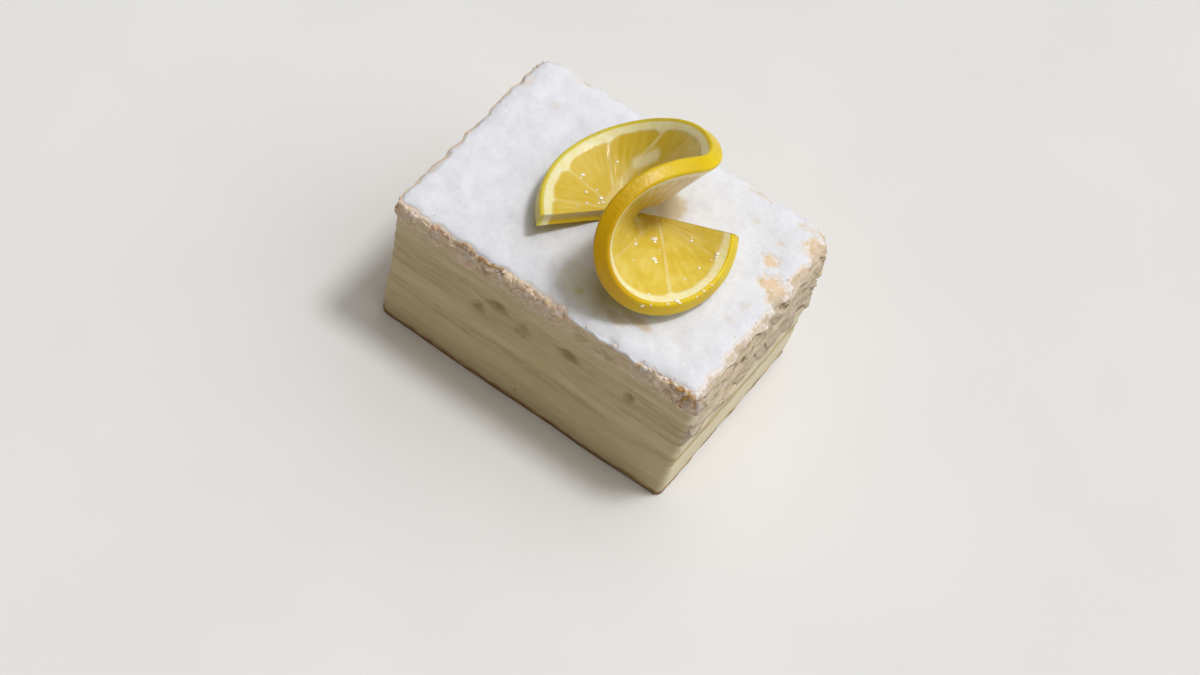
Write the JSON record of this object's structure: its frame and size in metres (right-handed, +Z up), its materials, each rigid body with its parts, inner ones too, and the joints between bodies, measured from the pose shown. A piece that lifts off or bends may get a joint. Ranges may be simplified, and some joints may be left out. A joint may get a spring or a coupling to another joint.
{
  "type": "custard slice",
  "caption": "Rectangular custard slice of pastry sheets and set cream, dusted with icing sugar, with a twisted slice of lemon on top.",
  "frame": {"origin": "centre of the underside, on the surface that the slice stands on", "axes": "+X along the long cut face towards the flaky end, +Y from that cut face to the back, +Z up"},
  "size_m": [0.0914, 0.0634, 0.0782],
  "materials": {
    "pastry_crust": "baked flaky pastry, matte, browned at its ragged edges",
    "pastry_inner": "cut soaked pastry, matte, with small hollows",
    "pastry_base": "thin browned pastry, matte",
    "custard_cream": "set custard cream, soft satin",
    "lemon": "wet translucent flesh, white pith and waxy yellow rind",
    "icing_sugar": "fine matte powder"
  },
  "bodies": {
    "root": {"pastry_top": "pastry_crust", "cream_upper": "custard_cream", "pastry_second": "pastry_inner", "cream_middle": "custard_cream", "pastry_third": "pastry_inner", "cream_lower": "custard_cream", "pastry_base": "pastry_base", "lemon_twist": "lemon"}
  },
  "joints": []
}
